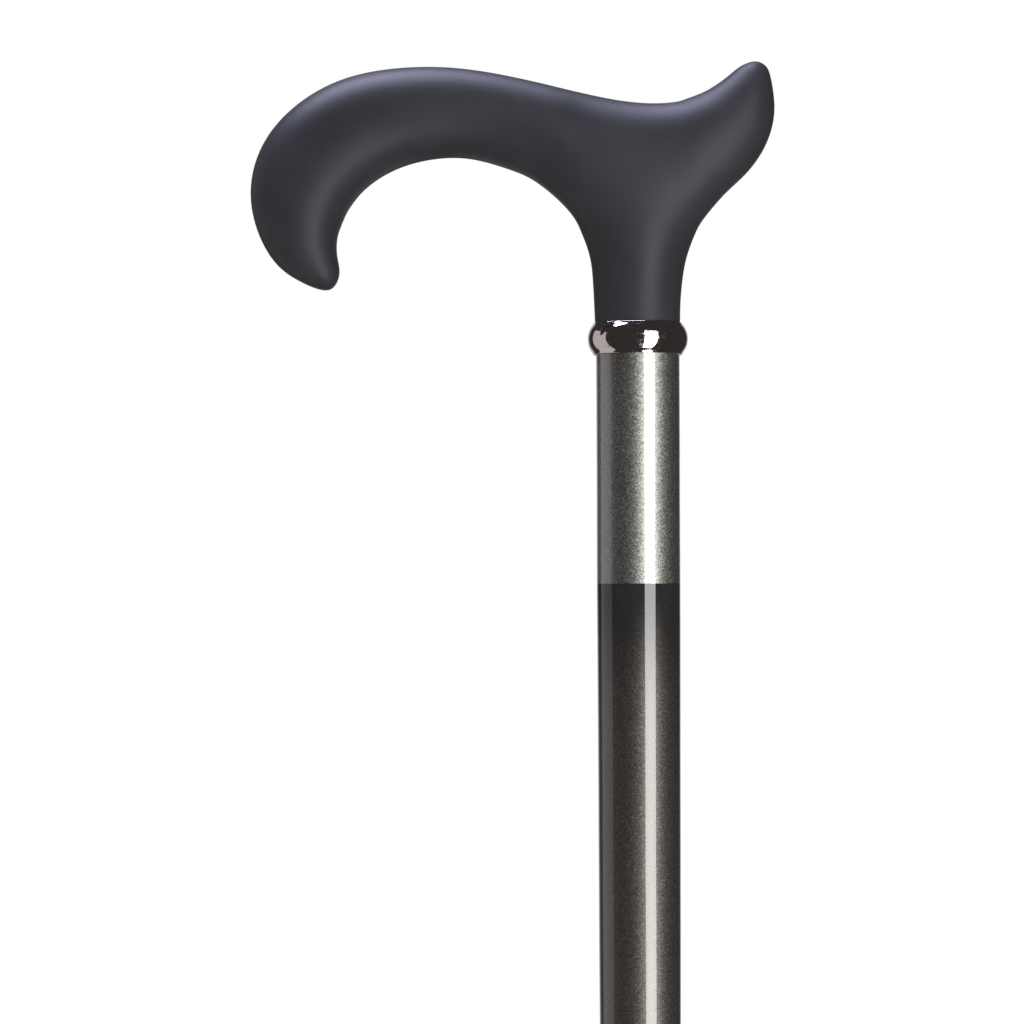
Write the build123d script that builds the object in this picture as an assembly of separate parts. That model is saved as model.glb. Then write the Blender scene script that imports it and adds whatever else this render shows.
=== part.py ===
from build123d import *

# Walking stick with a derby handle: a tapered wooden shaft, a soft-skinned moulded handle held on
# by a threaded stud, a bulged metal collar over the joint, and a push-on rubber ferrule.
#
# Millimetres. The origin is the centre of the ferrule's foot, where the stick meets the ground.
# +Z runs up the shaft, +X points to the raised heel of the handle (its horn) and -X to its hooked
# nose. The stick is symmetrical about the XZ plane.

import os
from math import cos, pi, radians, sin

# ---- Shaft -----------------------------------------------------------------------------------
shaft_length = 845.0
shaft_top_diameter = 20.0
shaft_tip_diameter = 16.0
straight_length = 59.0         # parallel stretch under the handle, above the taper
shaft_tip_chamfer = 0.8

# ---- Ferrule ---------------------------------------------------------------------------------
ferrule_height = 42.0
ferrule_foot_diameter = 34.0
ferrule_wall = 3.6             # rubber round the shaft at the mouth
ferrule_rim_height = 7.0       # upright band round the foot
ferrule_neck_height = 20.0     # upright stretch below the mouth
ferrule_floor = 8.5            # rubber under the washer
ferrule_clearance = 0.04       # radial, round the shaft and round the washer
ferrule_lip_radius = 1.2
ferrule_mouth_chamfer = 0.8
ferrule_foot_radius = 1.5
bead_count = 3
bead_radius = 0.7
bead_pitch = 3.6
bead_from_mouth = 5.0
tread_depth = 2.5
tread_groove = 1.8             # width of each ring groove in the foot
tread_rib = 2.2                # width of each rubber ring between two grooves
tread_centre_radius = 3.5      # plain disc in the middle of the foot
tread_edge = 3.2               # least width of plain rubber outside the last groove
washer_diameter = 18.0
washer_thickness = 1.5
washer_hole_diameter = 5.0

# ---- Stud and insert -------------------------------------------------------------------------
stud_diameter = 8.0
stud_pitch = 1.25
stud_thread_depth = 0.7
stud_in_handle = 22.0
stud_in_shaft = 46.0
stud_clearance = 0.05          # radial, in the insert
stud_glue_gap = 0.3            # radial, in the shaft
stud_end_gap = 2.0             # left free at both blind ends
insert_diameter = 12.5
insert_groove_depth = 0.8
insert_groove_width = 2.0
insert_groove_count = 3

# ---- Collar ----------------------------------------------------------------------------------
collar_height = 7.6
collar_drop = 0.3              # its middle is this far below the joint
collar_bulge = 1.8             # how far its middle stands out from the neck
collar_edge = 0.22             # how far its ends stand out from the neck
collar_wall = 0.8
collar_clearance = 0.1         # radial, round the neck and the shaft

# ---- Handle ----------------------------------------------------------------------------------
neck_step = 0.2                # how far the neck's lower end stands out from the shaft
neck_extension = 6.0           # of the smooth surface below the joint, where it is cut off
skin_thickness = 1.6
bond_line = 0.15               # between skin and core
section_fullness = 1.025       # 1 is a true ellipse
ring_points = 8
surface_passes = 50

# Sections of the grip from the neck to the nose, and of the horn from the neck upwards:
# (x, height over the joint, direction its upper edge faces in degrees from +X, half its depth
# seen from the side, half its width seen from above).
grip_sections = [
    (-21.1, 48.65, 75, 11.65, 11.3),
    (-29.6, 51.5, 80, 10.85, 11.3),
    (-40.4, 53.8, 87, 10.6, 11.6),
    (-51.8, 53.9, 95, 11.2, 12.1),
    (-63.0, 51.7, 110, 12.25, 12.4),
    (-72.0, 47.1, 124, 12.95, 12.3),
    (-78.2, 40.9, 141, 13.0, 11.7),
    (-81.2, 34.1, 160, 12.1, 10.7),
    (-81.3, 27.4, 180, 10.35, 9.3),
    (-79.5, 21.3, 201, 8.05, 7.5),
    (-76.7, 16.9, 213, 5.5, 5.6),
    (-75.1, 14.3, 210, 4.05, 4.2),
]
nose_tip = (-73.5, 11.7)
horn_sections = [
    (15.2, 45.5, 118, 12.5, 10.9),
    (18.9, 48.2, 128, 11.5, 10.4),
    (22.8, 51.8, 138, 10.1, 9.5),
    (25.5, 56.0, 150, 8.35, 8.4),
    (27.2, 60.5, 160, 6.05, 6.9),
    (28.1, 64.2, 171, 3.7, 4.6),
]
horn_tip = (28.7, 66.2)

# Sections of the neck, downwards: (height over the joint, its centre's X, how far it stands out
# from its lower end at the front and back in X, and at the sides in Y).
neck_sections = [
    (25.4, 0.3, 3.6, 1.0),
    (19.6, 0.2, 1.5, 0.7),
    (13.6, 0.0, 0.55, 0.4),
    (7.0, -0.1, 0.12, 0.1),
    (0.0, 0.0, 0.0, 0.0),
    (-neck_extension, 0.0, 0.0, 0.0),
]

# The block where grip, horn and neck meet, each row from the grip to the horn: its top edge and
# its two crotches as (x, height over the joint), and its sides as (x, height, half the width).
block_top = [(-12.1, 58.5), (-4.1, 56.9), (3.9, 56.2)]
block_sides = [
    [(-12.7, 54.6, 8.2), (-3.5, 52.9, 8.1), (5.4, 52.4, 8.1)],
    [(-14.4, 44.7, 11.3), (-2.1, 43.4, 11.3), (10.1, 42.7, 11.2)],
    [(-14.3, 33.8, 8.4), (-0.3, 32.1, 11.25), (13.2, 32.1, 8.4)],
]
block_crotches = [(-16.7, 30.8), (16.4, 29.1)]

# ---- Worked out from the above ---------------------------------------------------------------
shaft_foot = ferrule_floor + washer_thickness
joint_height = shaft_foot + shaft_length
neck_radius = shaft_top_diameter / 2 + neck_step


def shaft_radius(height):
    """The shaft's radius at a height over the ground."""
    taper_top = joint_height - straight_length
    share = max(0.0, (taper_top - height) / (taper_top - shaft_foot))
    return (shaft_top_diameter - (shaft_top_diameter - shaft_tip_diameter) * share) / 2


def turned(points):
    """A solid turned about the shaft's axis, from an outline of (radius, height) points."""
    outline = Polyline(*[(r, 0, z) for r, z in points], close=True)
    return revolve(make_face(outline), Axis.Z)


def rod(radius, low, high):
    """A round bar on the shaft's axis."""
    return Pos(0, 0, low) * Cylinder(radius, high - low, align=(Align.CENTER, Align.CENTER, Align.MIN))


class Net:
    """A closed net of four-sided cells that one smooth surface passes through."""

    def __init__(self):
        self.points = []
        self.cells = []

    def add(self, x, y, z):
        self.points.append(Vector(x, y, z))
        return len(self.points) - 1

    def bridge(self, ring, following):
        """Joins two rings that have the same number of points."""
        for i, near in enumerate(ring):
            j = (i + 1) % len(ring)
            self.cells.append((near, ring[j], following[j], following[i]))

    def cap(self, ring, tip):
        """Closes a ring on one point."""
        for i in range(0, len(ring), 2):
            self.cells.append((tip, ring[i], ring[i + 1], ring[(i + 2) % len(ring)]))

    def users(self):
        """For each point, the (cell, corner) pairs that meet there."""
        found = [[] for _ in self.points]
        for c, cell in enumerate(self.cells):
            for k, point in enumerate(cell):
                found[point].append((c, k))
        return found

    def sunk(self, depth):
        """The same net, moved a distance inwards."""
        inside = Net()
        inside.cells = self.cells
        for point, users in zip(self.points, self.users()):
            outward = Vector(0, 0, 0)
            for c, k in users:
                cell = self.cells[c]
                before, after = self.points[cell[k - 1]], self.points[cell[(k + 1) % 4]]
                outward += (after - point).cross(before - point).normalized()
            inside.points.append(point - outward.normalized() * depth)
        return inside

    def controls(self, points, users):
        """The inner control point of the smooth surface beside each corner of each cell."""
        inner = {}
        for c, cell in enumerate(self.cells):
            for k in range(4):
                spokes = len(users[cell[k]])
                beside = points[cell[k - 1]] + points[cell[(k + 1) % 4]]
                total = points[cell[k]] * spokes + beside * 2 + points[cell[(k + 2) % 4]]
                inner[c, k] = total * (1 / (spokes + 5))
        return inner

    def solid(self):
        """The solid inside the smooth surface that passes through every point of the net."""
        users = self.users()
        points = list(self.points)
        for _ in range(surface_passes):
            inner = self.controls(points, users)
            landed = [sum((inner[u] for u in near), Vector()) * (1 / len(near)) for near in users]
            points = [p + goal - at for p, goal, at in zip(points, self.points, landed)]
        inner = self.controls(points, users)
        landed = [sum((inner[u] for u in near), Vector()) * (1 / len(near)) for near in users]
        beside = {}
        for c, cell in enumerate(self.cells):
            for k in range(4):
                near, far = cell[k], cell[(k + 1) % 4]
                beside.setdefault((near, far), []).append(inner[c, k])
                beside.setdefault((far, near), []).append(inner[c, (k + 1) % 4])
        edge = {ends: (pair[0] + pair[1]) * 0.5 for ends, pair in beside.items()}
        faces = []
        for c, (p, q, r, s) in enumerate(self.cells):
            faces.append(Face.make_bezier_surface([
                [landed[p], edge[p, s], edge[s, p], landed[s]],
                [edge[p, q], inner[c, 0], inner[c, 3], edge[s, r]],
                [edge[q, p], inner[c, 1], inner[c, 2], edge[r, s]],
                [landed[q], edge[q, r], edge[r, q], landed[r]],
            ]))
        return Solid(Shell(faces))


def handle_net():
    """The net of the handle's outer surface, with the neck carried on below the joint."""
    net = Net()

    def point(x, height, y=0.0):
        return net.add(x, y, joint_height + height)

    def section_ring(section, side):
        """Round a section from its upper edge, by way of the +Y side (1) or the -Y side (-1)."""
        x, height, facing, depth, width = section
        ring = []
        for k in range(ring_points):
            turn = 2 * pi * k / ring_points
            full = section_fullness if k % 2 else 1.0
            up = depth * cos(turn) * full
            across = side * width * sin(turn) * full
            lean = radians(facing)
            ring.append(point(x + up * cos(lean), height + up * sin(lean), across))
        return ring

    def neck_ring(height, centre, flare_x, flare_y):
        """Round the neck from its nose side, by way of +Y."""
        turns = [2 * pi * k / ring_points for k in range(ring_points)]
        length, width = neck_radius + flare_x, neck_radius + flare_y
        return [point(centre - length * cos(t), height, width * sin(t)) for t in turns]

    def run(ring, following_rings, tip):
        """Carries a ring on through the following ones to a closed tip."""
        for following in following_rings:
            net.bridge(ring, following)
            ring = following
        net.cap(ring, tip)

    top = [point(*place) for place in block_top]
    sides = {side: [[point(x, h, side * w) for x, h, w in row] for row in block_sides] for side in (1, -1)}
    crotches = [point(*place) for place in block_crotches]

    for side, rows in sides.items():
        for upper, lower in zip([top, *rows], rows):
            for i in range(2):
                cell = (upper[i], upper[i + 1], lower[i + 1], lower[i])
                net.cells.append(cell[::side])

    def block_end(i, crotch, side):
        """The block's end ring, in the order of section_ring."""
        near, far = sides[side], sides[-side]
        return [top[i], *[row[i] for row in near], crotch, *[row[i] for row in reversed(far)]]

    run(block_end(0, crotches[0], 1), [section_ring(s, 1) for s in grip_sections], point(*nose_tip))
    run(block_end(2, crotches[1], -1), [section_ring(s, -1) for s in horn_sections], point(*horn_tip))
    flare = [crotches[0], *sides[1][-1], crotches[1], *reversed(sides[-1][-1])]
    run(flare, [neck_ring(*s) for s in neck_sections], point(0, -2 * neck_extension))
    return net


def make_handle():
    """The handle's skin and its core, with a pocket in the core for the insert."""
    net = handle_net()
    extension = rod(2 * neck_radius, joint_height - 3 * neck_extension, joint_height)
    skin = net.solid() - net.sunk(skin_thickness).solid() - extension
    core = net.sunk(skin_thickness + bond_line).solid() - extension - insert_shape()
    return skin, core


def insert_shape():
    """The insert's outer shape, with ring grooves that the moulded core grips."""
    length = stud_in_handle + stud_end_gap
    shape = rod(insert_diameter / 2, joint_height, joint_height + length)
    gap = length / (insert_groove_count + 1)
    for i in range(insert_groove_count):
        low = joint_height + gap * (i + 1) - insert_groove_width / 2
        ring = rod(insert_diameter, low, low + insert_groove_width)
        shape -= ring - rod(insert_diameter / 2 - insert_groove_depth, low, low + insert_groove_width)
    return shape


def make_insert():
    length = stud_in_handle + stud_end_gap
    bore = rod(stud_diameter / 2 + stud_clearance, joint_height, joint_height + length)
    return insert_shape() - bore


def make_stud():
    """The joining stud, its thread cut as whole rings as near as they come to the thread's pitch."""
    length = stud_in_shaft + stud_in_handle
    turns = round(length / stud_pitch)
    pitch = length / turns
    crest = stud_diameter / 2
    root = crest - stud_thread_depth
    outline = [(0, 0), (root, 0)]
    for i in range(turns):
        outline += [(crest, (i + 0.5) * pitch), (root, (i + 1) * pitch)]
    outline.append((0, length))
    return Pos(0, 0, joint_height - stud_in_shaft) * turned(outline)


def make_collar():
    """A pressed ring with a bulged wall that hides the joint between neck and shaft."""
    crown = collar_bulge - collar_edge
    arc_radius = (crown ** 2 + (collar_height / 2) ** 2) / (2 * crown)
    arc_centre = neck_radius + collar_bulge - arc_radius

    bore = shaft_top_diameter / 2 + collar_clearance

    def bulge(radius, height):
        """The section of a round bulge outside the bore, cut off flat at both ends."""
        window = Pos(bore, 0) * Rectangle(2 * collar_bulge, height, align=(Align.MIN, Align.CENTER))
        return (Pos(arc_centre, 0) * Circle(radius)) & window

    section = bulge(arc_radius, collar_height) - bulge(arc_radius - collar_wall, collar_height - 2 * collar_wall)
    ring = Pos(0, 0, joint_height - collar_drop) * revolve(Plane.XZ * section, Axis.Z)
    return ring - rod(neck_radius + collar_clearance, joint_height, joint_height + collar_height)


def make_shaft():
    taper_top = joint_height - straight_length
    body = turned([
        (0, shaft_foot),
        (shaft_tip_diameter / 2 - shaft_tip_chamfer, shaft_foot),
        (shaft_radius(shaft_foot + shaft_tip_chamfer), shaft_foot + shaft_tip_chamfer),
        (shaft_top_diameter / 2, taper_top),
        (shaft_top_diameter / 2, joint_height),
        (0, joint_height),
    ])
    hole_foot = joint_height - stud_in_shaft - stud_end_gap
    return body - rod(stud_diameter / 2 + stud_glue_gap, hole_foot, joint_height)


def make_ferrule():
    """The rubber ferrule: a socket with beads round its mouth, flared to a ringed foot."""
    foot = ferrule_foot_diameter / 2
    neck = shaft_radius(ferrule_height) + ferrule_wall
    flare_top = ferrule_height - ferrule_neck_height
    flare = TangentArc((neck, 0, flare_top), (foot, 0, ferrule_rim_height), tangent=(0, 0, -1))
    rest = Polyline(
        (foot, 0, ferrule_rim_height), (foot, 0, 0), (0, 0, 0),
        (0, 0, ferrule_height), (neck, 0, ferrule_height), (neck, 0, flare_top))
    body = revolve(make_face(flare + rest), Axis.Z)
    body = fillet(body.edges().group_by(Axis.Z)[-1], ferrule_lip_radius)
    body = fillet(body.edges().group_by(Axis.Z)[0], ferrule_foot_radius)
    for i in range(bead_count):
        height = ferrule_height - bead_from_mouth - i * bead_pitch
        body += Pos(0, 0, height) * Torus(neck, bead_radius)
    body -= turned([
        (0, shaft_foot),
        (shaft_radius(shaft_foot) + ferrule_clearance, shaft_foot),
        (shaft_radius(ferrule_height) + ferrule_clearance, ferrule_height - ferrule_mouth_chamfer),
        (shaft_radius(ferrule_height) + ferrule_clearance + ferrule_mouth_chamfer, ferrule_height),
        (0, ferrule_height),
    ])
    body -= rod(washer_diameter / 2 + ferrule_clearance, ferrule_floor, shaft_foot)
    radius = tread_centre_radius
    while radius + tread_groove + tread_edge <= foot:
        body -= rod(radius + tread_groove, 0, tread_depth) - rod(radius, 0, tread_depth)
        radius += tread_groove + tread_rib
    return body


def make_washer():
    disc = rod(washer_diameter / 2, ferrule_floor, shaft_foot)
    return disc - rod(washer_hole_diameter / 2, ferrule_floor, shaft_foot)


def main():
    os.makedirs("parts", exist_ok=True)
    skin, core = make_handle()
    pieces = {
        "handle_skin": skin,
        "handle_core": core,
        "handle_insert": make_insert(),
        "joining_stud": make_stud(),
        "collar_ring": make_collar(),
        "shaft": make_shaft(),
        "ferrule": make_ferrule(),
        "ferrule_washer": make_washer(),
    }
    for name, piece in pieces.items():
        export_step(piece, f"parts/{name}.step")


main()
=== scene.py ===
from math import cos, pi, radians, sin, tan

import bmesh
import bpy
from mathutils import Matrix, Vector


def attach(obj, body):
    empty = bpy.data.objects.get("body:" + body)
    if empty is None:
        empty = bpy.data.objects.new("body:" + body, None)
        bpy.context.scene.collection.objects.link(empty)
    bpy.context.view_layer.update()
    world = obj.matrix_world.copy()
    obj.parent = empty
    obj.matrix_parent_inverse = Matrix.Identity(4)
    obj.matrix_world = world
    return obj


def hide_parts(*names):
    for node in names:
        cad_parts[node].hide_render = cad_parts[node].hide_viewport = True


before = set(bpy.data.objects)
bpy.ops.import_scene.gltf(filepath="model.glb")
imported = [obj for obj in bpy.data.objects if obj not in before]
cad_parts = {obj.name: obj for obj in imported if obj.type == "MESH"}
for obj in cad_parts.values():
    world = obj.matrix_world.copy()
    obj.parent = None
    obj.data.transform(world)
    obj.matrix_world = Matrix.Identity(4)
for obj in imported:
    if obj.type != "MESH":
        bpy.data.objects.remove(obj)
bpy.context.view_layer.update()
mm = 0.001
print("stage: frame loaded")


# Selecting and finishing

def deselectAll():
    if bpy.context.object and bpy.context.object.mode != "OBJECT":
        bpy.ops.object.mode_set(mode="OBJECT")
    bpy.ops.object.select_all(action="DESELECT")


def makeActive(piece):
    deselectAll()
    piece.select_set(True)
    bpy.context.view_layer.objects.active = piece


def applyPlace(piece):
    makeActive(piece)
    bpy.ops.object.transform_apply(location=True, rotation=True, scale=True)


def addModifier(piece, kind, **settings):
    modifier = piece.modifiers.new(kind.title(), kind)
    for key, value in settings.items():
        setattr(modifier, key, value)
    return modifier


def applyModifier(piece, kind, **settings):
    modifier = addModifier(piece, kind, **settings)
    makeActive(piece)
    bpy.ops.object.modifier_apply(modifier=modifier.name)


def smoothByAngle(piece, degrees):
    makeActive(piece)
    bpy.ops.object.shade_smooth_by_angle(angle=radians(degrees))


def arcPoints(centre, radius, start, end, steps):
    # points round an arc in the outline's plane, angles in degrees from straight out
    turns = [radians(start + (end - start) * i / steps) for i in range(steps + 1)]
    return [(centre[0] + radius * cos(a), centre[1] + radius * sin(a)) for a in turns]


def turnedPiece(name, outline, sides, closed=False):
    # turns an outline of (radius, height) in mm, ring after ring, as on a lathe
    radius, height = outline[0]
    deselectAll()
    bpy.ops.mesh.primitive_circle_add(
        vertices=sides, radius=radius * mm, location=(0, 0, height * mm), fill_type="NOTHING")
    piece = bpy.context.object
    piece.name = piece.data.name = name
    applyPlace(piece)
    bpy.ops.object.mode_set(mode="EDIT")
    bpy.ops.mesh.select_mode(type="EDGE")
    bpy.ops.mesh.select_all(action="SELECT")
    if not closed:
        bpy.ops.mesh.edge_face_add()
        bpy.ops.mesh.poke()
        selectRing(piece, radius, height)
    for (lastRadius, lastHeight), (radius, height) in zip(outline, outline[1:]):
        bpy.ops.mesh.extrude_edges_move(
            TRANSFORM_OT_translate={"value": (0, 0, (height - lastHeight) * mm)})
        if radius != lastRadius:
            share = radius / lastRadius
            bpy.ops.transform.resize(value=(share, share, 1), center_override=(0, 0, height * mm))
    if not closed:
        bpy.ops.mesh.edge_face_add()
        bpy.ops.mesh.poke()
    bpy.ops.mesh.select_all(action="SELECT")
    bpy.ops.mesh.remove_doubles(threshold=1e-7)
    bpy.ops.mesh.normals_make_consistent(inside=False)
    bpy.ops.object.mode_set(mode="OBJECT")
    return piece


def selectRing(piece, radius, height):
    # selects the edges of one ring in edit mode
    mesh = bmesh.from_edit_mesh(piece.data)
    for edge in mesh.edges:
        ends = [v.co for v in edge.verts]
        edge.select_set(all(
            abs(c.z - height * mm) < 1e-6 and abs(c.to_2d().length - radius * mm) < 1e-6 for c in ends))
    mesh.select_flush_mode()
    bmesh.update_edit_mesh(piece.data)


# Shader helpers

class NodeTree:
    def __init__(self, tree):
        self.tree = tree

    def put(self, made, **sockets):
        # sets or links inputs by name, a space written as _, or by number as in0, in1
        for key, value in sockets.items():
            socket = self.socket(made, key)
            if isinstance(value, bpy.types.NodeSocket):
                self.tree.links.new(value, socket)
            else:
                socket.default_value = value
        return made

    def socket(self, made, key):
        wanted = key.replace("_", " ")
        if wanted[:2] == "in" and wanted[2:].isdigit():
            return made.inputs[int(wanted[2:])]
        return made.inputs[wanted]

    def maths(self, operation, first, second):
        made = self.tree.nodes.new("ShaderNodeMath")
        made.operation = operation
        self.put(made, in0=first, in1=second)
        return made.outputs[0]

    def ramp(self, value, low, high, toLow=0.0, toHigh=1.0, smooth=True):
        made = self.tree.nodes.new("ShaderNodeMapRange")
        made.interpolation_type = "SMOOTHSTEP" if smooth else "LINEAR"
        self.put(made, Value=value, From_Min=low, From_Max=high, To_Min=toLow, To_Max=toHigh)
        return made.outputs["Result"]

    def mixColour(self, share, first, second):
        made = self.tree.nodes.new("ShaderNodeMix")
        made.data_type = "RGBA"
        for key, value in ((0, share), (6, first), (7, second)):
            if isinstance(value, bpy.types.NodeSocket):
                self.tree.links.new(value, made.inputs[key])
            elif key == 0:
                made.inputs[key].default_value = value
            else:
                made.inputs[key].default_value = (*value, 1)
        return made.outputs[2]

    def vectorMaths(self, operation, first, second=None):
        made = self.tree.nodes.new("ShaderNodeVectorMath")
        made.operation = operation
        self.put(made, in0=first)
        if second is not None:
            self.put(made, in1=second)
        return made.outputs[0]

    def scaled(self, vector, amount):
        made = self.tree.nodes.new("ShaderNodeVectorMath")
        made.operation = "SCALE"
        self.put(made, in0=vector, Scale=amount)
        return made.outputs[0]

    def noise(self, place, scale, detail=3, roughness=0.5):
        made = self.tree.nodes.new("ShaderNodeTexNoise")
        self.put(made, Vector=place, Scale=scale, Detail=detail, Roughness=roughness)
        return made.outputs["Fac"]

    def place(self):
        return self.tree.nodes.new("ShaderNodeTexCoord").outputs["Object"]

    def plainNormal(self):
        return self.tree.nodes.new("ShaderNodeNewGeometry").outputs["Normal"]

    def height(self, place):
        # the third number of a place or a colour
        made = self.tree.nodes.new("ShaderNodeSeparateXYZ")
        self.put(made, Vector=place)
        return made.outputs["Z"]


def newGroup(name, inputs, outputs):
    group = bpy.data.node_groups.new(name, "ShaderNodeTree")
    for socketName, kind, value in inputs:
        socket = group.interface.new_socket(name=socketName, in_out="INPUT", socket_type=kind)
        if value is not None:
            socket.default_value = value
    for socketName, kind in outputs:
        group.interface.new_socket(name=socketName, in_out="OUTPUT", socket_type=kind)
    nodes = NodeTree(group)
    start = group.nodes.new("NodeGroupInput")
    end = group.nodes.new("NodeGroupOutput")
    return group, nodes, start.outputs, end.inputs


def makeGrainGroup():
    # fine raised grain with softer patches, as cast or moulded surfaces have
    group, nodes, given, result = newGroup(
        "mouldedGrain",
        [("Place", "NodeSocketVector", None), ("Grain Size", "NodeSocketFloat", 0.3),
         ("Patch Size", "NodeSocketFloat", 12.0)],
        [("Height", "NodeSocketFloat"), ("Patches", "NodeSocketFloat")])
    grainScale = nodes.maths("DIVIDE", 1000.0, given["Grain Size"])
    patchScale = nodes.maths("DIVIDE", 1000.0, given["Patch Size"])
    coarse = nodes.noise(given["Place"], grainScale, detail=2, roughness=0.6)
    fine = nodes.noise(given["Place"], nodes.maths("MULTIPLY", grainScale, 2.7), detail=1)
    group.links.new(nodes.maths("ADD", coarse, nodes.maths("MULTIPLY", fine, 0.5)), result["Height"])
    group.links.new(nodes.noise(given["Place"], patchScale, detail=3), result["Patches"])
    return group


def makeFlakeGroup():
    # metal flakes laid flat in a clear coat, each tipped a little its own way
    group, nodes, given, result = newGroup(
        "metalFlakes",
        [("Place", "NodeSocketVector", None), ("Flake Size", "NodeSocketFloat", 0.35),
         ("Tip", "NodeSocketFloat", 0.3)],
        [("Normal", "NodeSocketVector"), ("Spark", "NodeSocketFloat")])
    cells = group.nodes.new("ShaderNodeTexVoronoi")
    cells.feature = "F1"
    nodes.put(cells, Vector=given["Place"], Scale=nodes.maths("DIVIDE", 1000.0, given["Flake Size"]))
    centred = nodes.vectorMaths("SUBTRACT", cells.outputs["Color"], (0.5, 0.5, 0.5))
    tipped = nodes.scaled(centred, given["Tip"])
    added = nodes.vectorMaths("ADD", nodes.plainNormal(), tipped)
    group.links.new(nodes.vectorMaths("NORMALIZE", added), result["Normal"])
    group.links.new(nodes.height(cells.outputs["Color"]), result["Spark"])
    return group


def makeScratchGroup():
    # hair scratches round and along a turned metal piece, with dull specks
    group, nodes, given, result = newGroup(
        "handlingMarks",
        [("Place", "NodeSocketVector", None), ("Along", "NodeSocketFloat", 0.4),
         ("Around", "NodeSocketFloat", 6.0)],
        [("Scratches", "NodeSocketFloat"), ("Specks", "NodeSocketFloat")])
    stretch = group.nodes.new("ShaderNodeCombineXYZ")
    around = nodes.maths("DIVIDE", 1000.0, given["Around"])
    nodes.put(stretch, X=around, Y=around, Z=nodes.maths("DIVIDE", 1000.0, given["Along"]))
    drawnOut = nodes.vectorMaths("MULTIPLY", given["Place"], stretch.outputs[0])
    lines = nodes.noise(drawnOut, 1.0, detail=4, roughness=0.7)
    group.links.new(nodes.ramp(lines, 0.56, 0.68), result["Scratches"])
    specks = nodes.noise(given["Place"], 1000.0, detail=2, roughness=0.7)
    group.links.new(nodes.ramp(specks, 0.56, 0.8), result["Specks"])
    return group


def makeDustGroup():
    # pale road dust that clings low down and in patches
    group, nodes, given, result = newGroup(
        "groundDust",
        [("Place", "NodeSocketVector", None), ("Fades At", "NodeSocketFloat", 30.0)],
        [("Dust", "NodeSocketFloat")])
    fadesAt = nodes.maths("MULTIPLY", given["Fades At"], mm)
    low = nodes.ramp(nodes.height(given["Place"]), 0.0, fadesAt, 1.0, 0.0)
    patches = nodes.ramp(nodes.noise(given["Place"], 160.0, detail=5, roughness=0.65), 0.42, 0.68)
    group.links.new(nodes.maths("MULTIPLY", low, patches), result["Dust"])
    return group


grainGroup = makeGrainGroup()
flakeGroup = makeFlakeGroup()
scratchGroup = makeScratchGroup()
dustGroup = makeDustGroup()


def startMaterial(name, **fixed):
    material = bpy.data.materials.new(name)
    material.use_nodes = True
    nodes = NodeTree(material.node_tree)
    shader = material.node_tree.nodes["Principled BSDF"]
    for key, value in fixed.items():
        shader.inputs[key.replace("_", " ")].default_value = value
    return material, nodes, shader


def useGroup(nodes, group, place, **values):
    made = nodes.tree.nodes.new("ShaderNodeGroup")
    made.node_tree = group
    nodes.put(made, Place=place, **values)
    return made.outputs


def addBump(nodes, shader, height, depth):
    bump = nodes.tree.nodes.new("ShaderNodeBump")
    nodes.put(bump, Height=height, Strength=1.0, Distance=depth)
    nodes.put(shader, Normal=bump.outputs[0])


softTouch = dict(
    deep=(0.0152, 0.0153, 0.0171), worn=(0.0184, 0.0185, 0.0205), grain=0.22, patch=17.0,
    depth=0.012 * mm, smoothest=0.45, roughest=0.51)


def makeSoftTouch():
    material, nodes, shader = startMaterial(
        "softTouchBlack", Specular_IOR_Level=0.15, Specular_Tint=(0.92, 0.94, 1.0, 1.0))
    place = nodes.place()
    grain = useGroup(
        nodes, grainGroup, place, Grain_Size=softTouch["grain"], Patch_Size=softTouch["patch"])
    nodes.put(shader, Base_Color=nodes.mixColour(
        nodes.ramp(grain["Patches"], 0.3, 0.7), softTouch["deep"], softTouch["worn"]))
    nodes.put(shader, Roughness=nodes.ramp(
        grain["Patches"], 0.25, 0.75, softTouch["smoothest"], softTouch["roughest"]))
    addBump(nodes, shader, grain["Height"], softTouch["depth"])
    return material


# heights in mm, the flakes' size in mm, and how far the flakes tip
lacquer = dict(
    silver=(0.228, 0.224, 0.203), black=(0.0118, 0.0118, 0.0122), brown=(0.094, 0.083, 0.074),
    paintLine=796.0, lineWidth=0.08, metalFrom=-0.1, metalTo=-0.02, waver=0.05, waverScale=900.0,
    brownStarts=795.0, brownDeep=764.0, brownFull=660.0, brownAtDeep=0.8, halfMetal=0.1,
    flake=0.24, tip=0.145, dimmest=0.8, brightest=1.18, strayFrom=0.965, strayTo=0.98, strayLight=0.6,
    smoothest=0.385, roughest=0.51)


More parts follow.
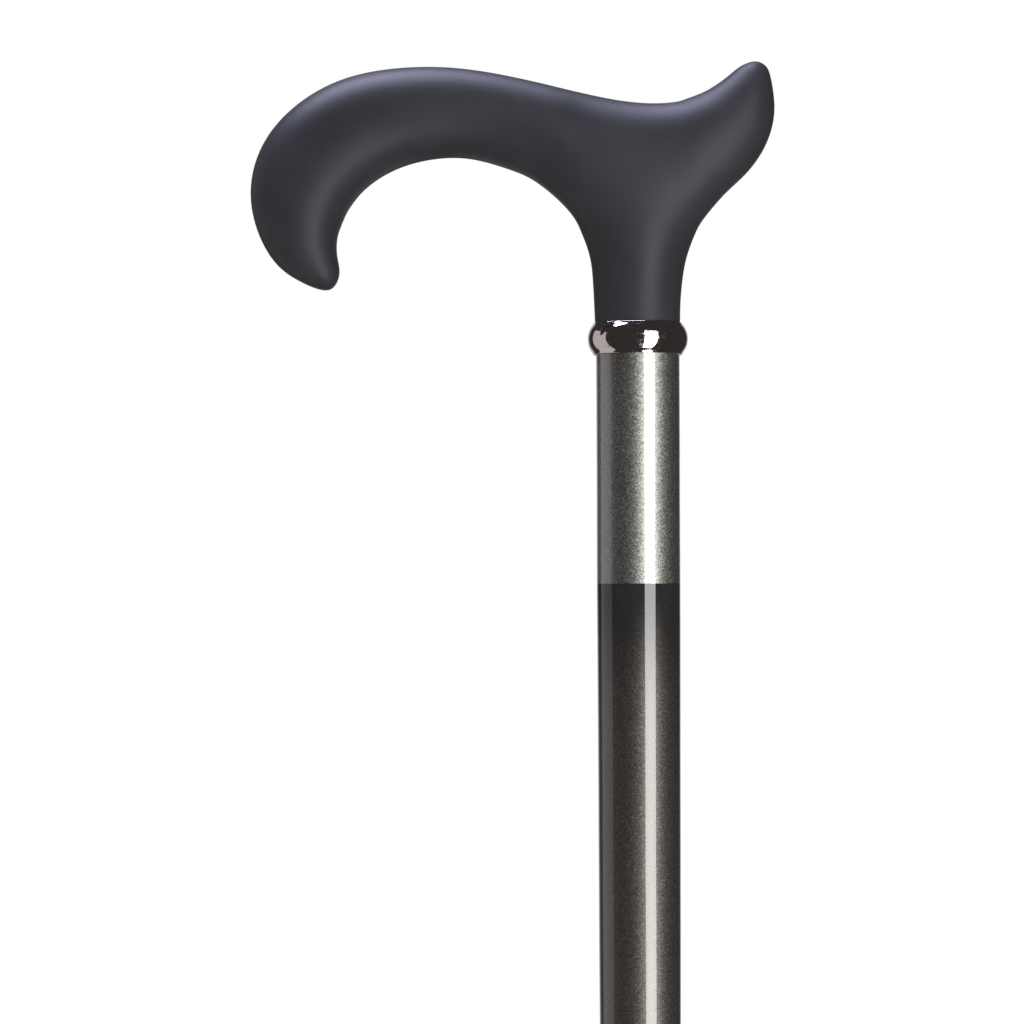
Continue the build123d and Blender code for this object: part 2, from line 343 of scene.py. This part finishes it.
def makeLacquer():
    material, nodes, shader = startMaterial(
        "flakeLacquer", Specular_IOR_Level=0.0, Coat_Weight=1.0, Coat_Roughness=0.03, Coat_IOR=1.5)
    place = nodes.place()
    height = nodes.height(place)
    flakes = useGroup(nodes, flakeGroup, place, Flake_Size=lacquer["flake"], Tip=lacquer["tip"])
    line, waver = lacquer["paintLine"], lacquer["waver"] * mm
    edge = nodes.maths("ADD", height, nodes.ramp(
        nodes.noise(place, lacquer["waverScale"]), 0, 1, -waver, waver))
    silver = nodes.ramp(edge, line * mm, (line + lacquer["lineWidth"]) * mm)
    # the black turns to metal a hair below the line, so that no pale diffuse rim shows there
    silverMetal = nodes.ramp(edge, (line + lacquer["metalFrom"]) * mm, (line + lacquer["metalTo"]) * mm)
    deep, full = lacquer["brownDeep"] * mm, lacquer["brownFull"] * mm
    first = nodes.ramp(height, deep, lacquer["brownStarts"] * mm, lacquer["brownAtDeep"], 0.0)
    later = nodes.ramp(height, full, deep, 1 - lacquer["brownAtDeep"], 0.0, smooth=False)
    share = nodes.maths("ADD", first, later)
    # single flakes catch more or less light, and a few stand out
    catch = nodes.ramp(
        flakes["Spark"], 0.0, 1.0, lacquer["dimmest"], lacquer["brightest"], smooth=False)
    stray = nodes.ramp(
        flakes["Spark"], lacquer["strayFrom"], lacquer["strayTo"], 0.0, lacquer["strayLight"])
    catch = nodes.maths("ADD", catch, stray)
    brown = nodes.mixColour(share, lacquer["black"], lacquer["brown"])
    flaked = nodes.mixColour(silver, brown, lacquer["silver"])
    nodes.put(shader, Base_Color=nodes.scaled(flaked, catch))
    brownMetal = nodes.maths("DIVIDE", share, nodes.maths("ADD", share, lacquer["halfMetal"]))
    metal = nodes.maths("MAXIMUM", brownMetal, silverMetal)
    nodes.put(shader, Metallic=metal)
    nodes.put(shader, Roughness=nodes.ramp(
        flakes["Spark"], 0.0, 1.0, lacquer["smoothest"], lacquer["roughest"], smooth=False))
    laid = nodes.mixColour(metal, nodes.plainNormal(), flakes["Normal"])
    nodes.put(shader, Normal=laid)
    return material


plate = dict(
    bright=(0.60, 0.535, 0.505), dull=(0.44, 0.385, 0.35), polished=0.055, scratched=0.16,
    specked=0.24, along=0.35, around=2.2, scratchRelief=0.25, dentSize=1.5, dentDepth=0.0035 * mm)


def makeCollarPlate():
    material, nodes, shader = startMaterial("blackNickel", Metallic=1.0)
    place = nodes.place()
    marks = useGroup(nodes, scratchGroup, place, Along=plate["along"], Around=plate["around"])
    nodes.put(shader, Base_Color=nodes.mixColour(marks["Specks"], plate["bright"], plate["dull"]))
    nodes.put(shader, Roughness=nodes.maths(
        "ADD", nodes.ramp(marks["Scratches"], 0, 1, plate["polished"], plate["scratched"]),
        nodes.ramp(marks["Specks"], 0, 1, 0.0, plate["specked"])))
    dents = nodes.noise(place, 1000.0 / plate["dentSize"], detail=2)
    grooves = nodes.maths("MULTIPLY", marks["Scratches"], plate["scratchRelief"])
    addBump(nodes, shader, nodes.maths("ADD", grooves, dents), plate["dentDepth"])
    return material


rubber = dict(
    deep=(0.012, 0.012, 0.0125), worn=(0.026, 0.0255, 0.0255), grain=0.45, patch=9.0,
    depth=0.04 * mm, smoothest=0.55, roughest=0.72,
    dust=(0.16, 0.145, 0.125), dustTop=24.0, dustShare=0.16, dustRoughness=0.2)


def makeFootRubber():
    material, nodes, shader = startMaterial("footRubber", Specular_IOR_Level=0.4)
    place = nodes.place()
    grain = useGroup(nodes, grainGroup, place, Grain_Size=rubber["grain"], Patch_Size=rubber["patch"])
    dust = useGroup(nodes, dustGroup, place, Fades_At=rubber["dustTop"])["Dust"]
    clean = nodes.mixColour(grain["Patches"], rubber["deep"], rubber["worn"])
    dusted = nodes.maths("MULTIPLY", dust, rubber["dustShare"])
    nodes.put(shader, Base_Color=nodes.mixColour(dusted, clean, rubber["dust"]))
    nodes.put(shader, Roughness=nodes.maths(
        "ADD", nodes.ramp(grain["Patches"], 0.2, 0.8, rubber["smoothest"], rubber["roughest"]),
        nodes.maths("MULTIPLY", dust, rubber["dustRoughness"])))
    addBump(nodes, shader, grain["Height"], rubber["depth"])
    return material


metals = {
    "turnedBrass": dict(light=(0.55, 0.37, 0.13), dark=(0.36, 0.23, 0.09), smoothest=0.24,
                        along=0.15, around=3.0),
    "zincSteel": dict(light=(0.50, 0.51, 0.53), dark=(0.33, 0.33, 0.34), smoothest=0.28,
                      along=0.12, around=2.5),
}
metalMarks = dict(dulled=0.18, depth=0.01 * mm)


def makeMetal(name):
    values = metals[name]
    smoothest = values["smoothest"]
    material, nodes, shader = startMaterial(name, Metallic=1.0)
    marks = useGroup(nodes, scratchGroup, nodes.place(), Along=values["along"], Around=values["around"])
    nodes.put(shader, Base_Color=nodes.mixColour(marks["Specks"], values["light"], values["dark"]))
    nodes.put(shader, Roughness=nodes.ramp(
        marks["Scratches"], 0, 1, smoothest, smoothest + metalMarks["dulled"]))
    addBump(nodes, shader, marks["Scratches"], metalMarks["depth"])
    return material


core = dict(deep=(0.028, 0.028, 0.03), pale=(0.05, 0.05, 0.052), grain=0.6, patch=14.0,
            depth=0.03 * mm, smoothest=0.38, roughest=0.55)


def makeCoreMaterial():
    material, nodes, shader = startMaterial("mouldedCore")
    grain = useGroup(nodes, grainGroup, nodes.place(), Grain_Size=core["grain"], Patch_Size=core["patch"])
    nodes.put(shader, Base_Color=nodes.mixColour(grain["Patches"], core["deep"], core["pale"]))
    nodes.put(shader, Roughness=nodes.ramp(
        grain["Patches"], 0.2, 0.8, core["smoothest"], core["roughest"]))
    addBump(nodes, shader, grain["Height"], core["depth"])
    return material


finishes = {
    "grip_skin": makeSoftTouch(),
    "grip_core": makeCoreMaterial(),
    "insert_brass": makeMetal("turnedBrass"),
    "bright_steel": makeMetal("zincSteel"),
    "collar_plate": makeCollarPlate(),
    "shaft_lacquer": makeLacquer(),
    "foot_rubber": makeFootRubber(),
}
print("stage: materials made")


def finish(piece, body, node, slotName):
    piece.data.materials.clear()
    piece.data.materials.append(finishes[slotName])
    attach(piece, body)
    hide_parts(node)


# Shaft

jointHeight = 855.0
shaft = dict(topRadius=10.0, tipRadius=8.0, taperTop=796.0, foot=10.0, tipChamfer=0.8,
             holeRadius=4.3, holeFoot=807.0, ringStep=4.0, sides=96, wave=0.07 * mm, waveLength=22 * mm)


def shaftRadius(height):
    share = max(0.0, (shaft["taperTop"] - height) / (shaft["taperTop"] - shaft["foot"]))
    return shaft["topRadius"] - (shaft["topRadius"] - shaft["tipRadius"]) * share


def makeShaft():
    low = shaft["foot"] + shaft["tipChamfer"]
    outline = [(shaft["tipRadius"] - shaft["tipChamfer"], shaft["foot"])]
    steps = round((jointHeight - low) / shaft["ringStep"])
    for i in range(steps + 1):
        height = low + (jointHeight - low) * i / steps
        outline.append((shaftRadius(height), height))
    outline += [(shaft["holeRadius"], jointHeight), (shaft["holeRadius"], shaft["holeFoot"])]
    piece = turnedPiece("shaft_lacquered", outline, shaft["sides"])
    ripple = bpy.data.textures.new("rubbedDownLacquer", "CLOUDS")
    ripple.noise_scale = shaft["waveLength"]
    ripple.noise_depth = 1
    applyModifier(piece, "DISPLACE", texture=ripple, strength=shaft["wave"], mid_level=0.5,
                  texture_coords="LOCAL")
    smoothByAngle(piece, 35)
    finish(piece, "stick", "shaft", "shaft_lacquer")
    return piece


makeShaft()
print("stage: shaft turned")


# Collar

collar = dict(height=7.6, drop=0.3, bulgeRadius=12.0, edgeRadius=10.42, wall=0.8, lowerBore=10.1,
              upperBore=10.3, lip=0.24, lipOut=0.02, boreChamfer=0.35, bulgeAngle=36, sides=144)


def makeCollar():
    half = collar["height"] / 2
    crown = collar["bulgeRadius"] - collar["edgeRadius"]
    arcRadius = (crown ** 2 + half ** 2) / (2 * crown)
    middle = jointHeight - collar["drop"]
    centre = (collar["bulgeRadius"] - arcRadius, middle)
    lip = collar["lip"]
    lipOut = collar["edgeRadius"] + collar["lipOut"]
    boreEdge = half - collar["boreChamfer"]
    bulge = collar["bulgeAngle"]
    inner = arcRadius - collar["wall"]
    innerTop = half - collar["wall"]

    def innerRadius(height):
        return centre[0] + (inner ** 2 - height ** 2) ** 0.5

    outline = arcPoints(centre, arcRadius, -bulge, bulge, 20)
    outline += arcPoints((lipOut, middle + half - lip), lip, 10, 150, 7)
    outline += [(collar["upperBore"], middle + boreEdge), (collar["upperBore"], middle + innerTop)]
    outline += [(innerRadius(innerTop * i / 3), middle + innerTop * i / 3) for i in range(3, -4, -1)]
    outline += [(collar["lowerBore"], middle - innerTop), (collar["lowerBore"], middle - boreEdge)]
    outline += arcPoints((lipOut, middle - half + lip), lip, -150, -10, 7)
    outline.append(outline[0])
    piece = turnedPiece("collar_bulged", outline, collar["sides"], closed=True)
    smoothByAngle(piece, 40)
    finish(piece, "stick", "collar_ring", "collar_plate")
    return piece


makeCollar()
print("stage: collar turned")


# Ferrule

ferrule = dict(
    height=42.0, foot=16.995, rim=7.0, flareTop=22.0, wall=3.6, lip=1.2, footRound=1.5, floor=8.5,
    clearance=0.04, mouthChamfer=0.8, washerRadius=9.0, washerTop=10.0, beads=(29.8, 33.4, 37.0),
    beadRadius=0.7, treadDepth=2.5, treadRounds=((3.5, 5.3), (7.5, 9.3), (11.5, 13.3)),
    edgeRound=0.18, flareSteps=10, sides=128)


def makeFerrule():
    neck = shaftRadius(ferrule["height"]) + ferrule["wall"]
    spread = ferrule["foot"] - neck
    drop = ferrule["flareTop"] - ferrule["rim"]
    flareRadius = (spread ** 2 + drop ** 2) / (2 * spread)
    outline = []
    for inner, outerEdge in ferrule["treadRounds"]:
        depth = ferrule["treadDepth"]
        outline += [(inner, 0), (inner, depth), (outerEdge, depth), (outerEdge, 0)]
    bottomRound = ferrule["footRound"]
    outline += arcPoints((ferrule["foot"] - bottomRound, bottomRound), bottomRound, -90, 0, 6)
    outline.append((ferrule["foot"], ferrule["rim"]))
    for i in range(ferrule["flareSteps"] - 1, -1, -1):
        below = drop * i / ferrule["flareSteps"]
        out = flareRadius - (flareRadius ** 2 - below ** 2) ** 0.5
        outline.append((neck + out, ferrule["flareTop"] - below))
    for bead in ferrule["beads"]:
        outline += arcPoints((neck, bead), ferrule["beadRadius"], -90, 90, 8)
    lip = ferrule["lip"]
    outline += arcPoints((neck - lip, ferrule["height"] - lip), lip, 0, 90, 6)
    socketTop = shaftRadius(ferrule["height"]) + ferrule["clearance"]
    outline += [
        (socketTop + ferrule["mouthChamfer"], ferrule["height"]),
        (socketTop, ferrule["height"] - ferrule["mouthChamfer"]),
        (shaftRadius(ferrule["washerTop"]) + ferrule["clearance"], ferrule["washerTop"]),
        (ferrule["washerRadius"] + ferrule["clearance"], ferrule["washerTop"]),
        (ferrule["washerRadius"] + ferrule["clearance"], ferrule["floor"]),
    ]
    piece = turnedPiece("ferrule_moulded", outline, ferrule["sides"])
    applyModifier(piece, "BEVEL", width=ferrule["edgeRound"] * mm, segments=2, limit_method="ANGLE",
                  angle_limit=radians(50))
    smoothByAngle(piece, 40)
    finish(piece, "foot", "ferrule", "foot_rubber")
    return piece


makeFerrule()
print("stage: ferrule turned")


# Handle

# sections are (x, height over the joint, way the upper edge faces, half depth, half width), in mm
# and degrees
handle = dict(
    grip=(
        (-21.1, 48.65, 75, 11.65, 11.3), (-29.6, 51.5, 80, 10.85, 11.3), (-40.4, 53.8, 87, 10.6, 11.6),
        (-51.8, 53.9, 95, 11.2, 12.1), (-63.0, 51.7, 110, 12.25, 12.4), (-72.0, 47.1, 124, 12.95, 12.3),
        (-78.2, 40.9, 141, 13.0, 11.7), (-81.2, 34.1, 160, 12.08, 10.7), (-81.3, 27.4, 180, 10.35, 9.3),
        (-79.5, 21.3, 201, 8.05, 7.5), (-76.7, 16.9, 212, 5.5, 5.6), (-74.35, 13.85, 212, 3.3, 3.7)),
    horn=(
        (15.2, 45.5, 118, 12.5, 10.9), (18.9, 48.2, 128, 11.5, 10.4), (22.8, 51.8, 138, 10.1, 9.5),
        (25.5, 56.0, 150, 8.32, 8.4), (27.2, 60.5, 160, 5.92, 6.9), (28.1, 64.2, 171, 3.7, 4.6)),
    tips=((-73.45, 12.0), (28.7, 66.2)),
    # rings of the block where grip, horn and neck meet: upper edge, three side points, lower edge
    block=(
        ((-12.1, 58.5, 0), (-12.7, 54.6, 8.2), (-14.4, 44.7, 11.3), (-14.3, 33.8, 8.4), (-16.7, 30.8, 0)),
        ((-4.1, 56.9, 0), (-3.5, 52.9, 8.1), (-2.1, 43.4, 11.3), (-0.3, 32.1, 11.25), (-0.3, 28.0, 0)),
        ((3.9, 56.2, 0), (5.4, 52.4, 8.1), (10.1, 42.7, 11.2), (13.2, 32.1, 8.4), (16.4, 29.1, 0))),
    # rings of the neck: height, centre, how far it stands out to the front and back, and to the sides
    neck=((25.4, 0.3, 3.6, 1.0), (19.6, 0.2, 1.5, 0.7), (13.6, 0, 0.55, 0.4), (7.0, -0.1, 0.12, 0.1),
          (0, 0, 0, 0), (-6, 0, 0, 0)),
    neckRadius=10.2, startRadius=10, fullness=1.025, passes=40, levels=3, skin=1.6)


def toFrame(x, height, y=0.0):
    return Vector((x * mm, y * mm, (jointHeight + height) * mm))


def sectionRing(x, height, facing, depth, width):
    # eight points from the upper edge by way of +Y, the slanting ones pushed out a little
    ring = []
    for k in range(8):
        turn = pi * k / 4
        full = handle["fullness"] if k % 2 else 1.0
        up = depth * cos(turn) * full
        ring.append(toFrame(x + up * cos(radians(facing)), height + up * sin(radians(facing)),
                            width * sin(turn) * full))
    return ring


def blockRing(points):
    # the near side's points, then the same ones mirrored back up the far side
    near = [toFrame(x, h, y) for x, h, y in points]
    far = [toFrame(x, h, -y) for x, h, y in points[-2:0:-1]]
    return near + far


def neckRing(height, centre, outX, outY):
    # eight points, from the grip's side by way of +Y
    turns = [pi * k / 4 for k in range(8)]
    return [toFrame(centre - (handle["neckRadius"] + outX) * cos(t), height,
                    (handle["neckRadius"] + outY) * sin(t)) for t in turns]


def addRing(piece, points):
    # a new ring with a corner for each point
    middle = sum(points, Vector()) / len(points)
    bpy.ops.mesh.select_all(action="DESELECT")
    bpy.ops.mesh.primitive_circle_add(
        vertices=len(points), radius=handle["startRadius"] * mm, location=middle)
    return placeRing(piece, points)


def placeRing(piece, points):
    # moves the selected corners onto the points, in order; returns their numbers
    mesh = bmesh.from_edit_mesh(piece.data)
    mesh.verts.index_update()
    corners = [v for v in mesh.verts if v.select]
    for corner, point in zip(corners, points):
        corner.co = point
    bmesh.update_edit_mesh(piece.data)
    return [v.index for v in corners]


def selectEdges(piece, *rings):
    # selects the edges whose two ends are in the same ring
    bpy.ops.mesh.select_all(action="DESELECT")
    mesh = bmesh.from_edit_mesh(piece.data)
    mesh.verts.index_update()
    sets = [set(ring) for ring in rings]
    for edge in mesh.edges:
        if any(edge.verts[0].index in s and edge.verts[1].index in s for s in sets):
            edge.select_set(True)
    bmesh.update_edit_mesh(piece.data)


def bridgeRings(piece, rings):
    for ring, following in zip(rings, rings[1:]):
        selectEdges(piece, ring, following)
        bpy.ops.mesh.bridge_edge_loops()


def closeTip(piece, ring, tip):
    # fills an end ring with four faces round one new point, and moves that point out to the tip
    selectEdges(piece, ring)
    bpy.ops.mesh.fill_grid(span=2)
    mesh = bmesh.from_edit_mesh(piece.data)
    mesh.verts.index_update()
    for vertex in mesh.verts:
        if vertex.select and vertex.index not in ring:
            vertex.co = tip
    bmesh.update_edit_mesh(piece.data)


def makeHandleCage():
    deselectAll()
    bpy.ops.mesh.primitive_circle_add(vertices=8, radius=handle["startRadius"] * mm)
    piece = bpy.context.object
    piece.name = piece.data.name = "handle_softskin"
    bpy.ops.object.mode_set(mode="EDIT")
    bpy.ops.mesh.select_mode(type="EDGE")
    bpy.ops.mesh.select_all(action="SELECT")
    sections = [sectionRing(*s) for s in reversed(handle["grip"])]
    across = [placeRing(piece, sections[0])] + [addRing(piece, s) for s in sections[1:]]
    left, centre, right = [addRing(piece, blockRing(b)) for b in handle["block"]]
    across += [left, centre, right] + [addRing(piece, sectionRing(*s)) for s in handle["horn"]]
    down = [addRing(piece, neckRing(*n)) for n in handle["neck"]]
    bridgeRings(piece, across)
    bridgeRings(piece, down)
    for ring, tip in zip((across[0], across[-1]), handle["tips"]):
        closeTip(piece, ring, toFrame(*tip))
    # the block's lower middle point goes, which opens the hole that the neck is joined to
    gone = centre[4]
    hole = [left[4], left[3], centre[3], right[3], right[4], right[5], centre[5], left[5]]
    bpy.ops.mesh.select_all(action="DESELECT")
    bpy.ops.mesh.select_mode(type="VERT")
    mesh = bmesh.from_edit_mesh(piece.data)
    mesh.verts.ensure_lookup_table()
    mesh.verts[gone].select_set(True)
    bpy.ops.mesh.delete(type="VERT")
    bpy.ops.mesh.select_mode(type="EDGE")
    bridgeRings(piece, [[i - (i > gone) for i in ring] for ring in (hole, down[0])])
    bpy.ops.mesh.select_all(action="SELECT")
    bpy.ops.mesh.normals_make_consistent(inside=False)
    bpy.ops.object.mode_set(mode="OBJECT")
    return piece


def passThroughSections(piece):
    # moves the cage outwards until the smooth surface itself goes through the section points
    wanted = [v.co.copy() for v in piece.data.vertices]
    smooth = addModifier(piece, "SUBSURF", levels=1, render_levels=1, use_limit_surface=True)
    for _ in range(handle["passes"]):
        reached = piece.evaluated_get(bpy.context.evaluated_depsgraph_get()).data.vertices
        gaps = [target - reached[i].co for i, target in enumerate(wanted)]
        for vertex, gap in zip(piece.data.vertices, gaps):
            vertex.co += gap
        piece.data.update()
        bpy.context.view_layer.update()
    piece.modifiers.remove(smooth)
    return max(gap.length for gap in gaps)


def makeHandle():
    piece = makeHandleCage()
    gap = passThroughSections(piece)
    print(f"stage: handle cage shaped, {gap / mm:.4f} mm from its sections")
    applyModifier(piece, "SUBSURF", levels=handle["levels"], render_levels=handle["levels"])
    bpy.ops.object.mode_set(mode="EDIT")
    bpy.ops.mesh.select_all(action="SELECT")
    bpy.ops.mesh.bisect(plane_co=toFrame(0, 0), plane_no=(0, 0, 1), clear_inner=True)
    bpy.ops.object.mode_set(mode="OBJECT")
    applyModifier(piece, "SOLIDIFY", thickness=handle["skin"] * mm, offset=-1, use_even_offset=True)
    smoothByAngle(piece, 50)
    finish(piece, "stick", "handle_skin", "grip_skin")
    return piece


makeHandle()
print("stage: handle shaped")


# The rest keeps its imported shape

for nodeName, slotName in (
        ("handle_core", "grip_core"), ("handle_insert", "insert_brass"),
        ("joining_stud", "bright_steel"), ("ferrule_washer", "bright_steel")):
    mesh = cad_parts[nodeName].data
    mesh.materials.clear()
    mesh.materials.append(finishes[slotName])


# Floor, lights and camera

# metres, degrees and radiance
room = dict(
    floorRadius=2.6, floorDark=(0.37, 0.37, 0.37), floorPale=(0.41, 0.41, 0.41),
    glowDark=(0.96, 0.96, 0.96), glowPale=(1, 1, 1), mottleScale=6.0, ambient=0.042)
view = dict(distance=0.9, eye=0.796, centre=-0.0302, middle=0.8132, width=0.24576, roll=0.212,
            aim=0.855, sensor=36)
rim = dict(near=0.9, low=0.02, high=1.2, width=0.3, radiance=0.55, colour=(1, 0.97, 0.97))
lights = {
    "stripRight": dict(side=29.6, near=0.56, low=0.01, high=1.14, width=0.302, radiance=9.4,
                       colour=(1, 1, 1)),
    "panelLeft": dict(side=-104.5, near=0.42, low=0.01, high=1.03, width=0.365, radiance=0.64,
                      colour=(1, 0.955, 0.99)),
    "rimLeft": dict(side=-164, **rim),
    "rimRight": dict(side=164, **rim),
    "fillLeft": dict(side=-72, near=1.3, low=0.1, high=1.5, width=1.0, radiance=2.0,
                     colour=(1, 1, 1)),
    "fillBack": dict(side=170, near=1.6, low=0.1, high=1.5, width=1.2, radiance=3.0,
                     colour=(1, 1, 1)),
}
fills = ("fillLeft", "fillBack")
topLight = dict(place=(-0.27, 0.12, 1.65), size=(0.80, 0.66), radiance=15.0,
                colour=(0.74, 0.75, 1.0))


def addPanel(name, place, aim, size, radiance, colour):
    lamp = bpy.data.lights.new(name, "AREA")
    lamp.shape = "RECTANGLE"
    lamp.size, lamp.size_y = size
    lamp.color = colour
    lamp.energy = radiance * pi * size[0] * size[1]   # watts that give this brightness
    panel = bpy.data.objects.new(name, lamp)
    bpy.context.scene.collection.objects.link(panel)
    panel.location = place
    panel.rotation_euler = (Vector(aim) - Vector(place)).to_track_quat("-Z", "Y").to_euler()
    panel.visible_camera = False
    return panel


def addUprightPanel(name, side, near, low, high, width, radiance, colour):
    # stands upright at an angle round the cane from the camera, to the right where positive
    angle = radians(side)
    middle = (low + high) / 2
    place = (near * sin(angle), -near * cos(angle), middle)
    return addPanel(name, place, (0, 0, middle), (width, high - low), radiance, colour)


def makeRoom():
    deselectAll()
    bpy.ops.mesh.primitive_circle_add(vertices=96, radius=room["floorRadius"], fill_type="NGON")
    floor = bpy.context.object
    floor.name = floor.data.name = "studio_floor"
    material, nodes, shader = startMaterial(
        "paleFloor", Roughness=0.7, Specular_IOR_Level=0.2, Emission_Strength=0.5)
    mottle = nodes.noise(nodes.place(), room["mottleScale"], detail=4)
    nodes.put(shader, Base_Color=nodes.mixColour(mottle, room["floorDark"], room["floorPale"]),
              Emission_Color=nodes.mixColour(mottle, room["glowDark"], room["glowPale"]))
    floor.data.materials.append(material)
    floor.visible_glossy = False
    panels = {name: addUprightPanel(name, **values) for name, values in lights.items()}
    for name in fills:
        panels[name].visible_glossy = False   # only lifts the shadows, never shows in the polish
    above = topLight["place"]
    addPanel("topSoft", above, (above[0], above[1], 0), topLight["size"], topLight["radiance"],
             topLight["colour"])


def makeWorld():
    world = bpy.data.worlds.new("studioWorld")
    bpy.context.scene.world = world
    world.use_nodes = True
    nodes = NodeTree(world.node_tree)
    background = world.node_tree.nodes["Background"]
    path = world.node_tree.nodes.new("ShaderNodeLightPath")
    dim = (room["ambient"],) * 3
    nodes.put(background, Color=nodes.mixColour(path.outputs["Is Camera Ray"], dim, (1, 1, 1)))


def makeCamera():
    data = bpy.data.cameras.new("camera")
    camera = bpy.data.objects.new("camera", data)
    bpy.context.scene.collection.objects.link(camera)
    bpy.context.scene.camera = camera
    roll = radians(view["roll"])
    across = view["centre"] + tan(roll) * (view["eye"] - view["aim"])
    camera.location = (across, -view["distance"], view["eye"])
    camera.rotation_euler = (pi / 2, roll, 0)
    data.sensor_width = view["sensor"]
    data.lens = view["sensor"] * view["distance"] / view["width"]
    data.shift_y = (view["middle"] - view["eye"] - tan(roll) * view["centre"]) / view["width"]
    bpy.context.scene.view_settings.view_transform = "Standard"


makeRoom()
makeWorld()
makeCamera()
print("stage: room, lights and camera ready")
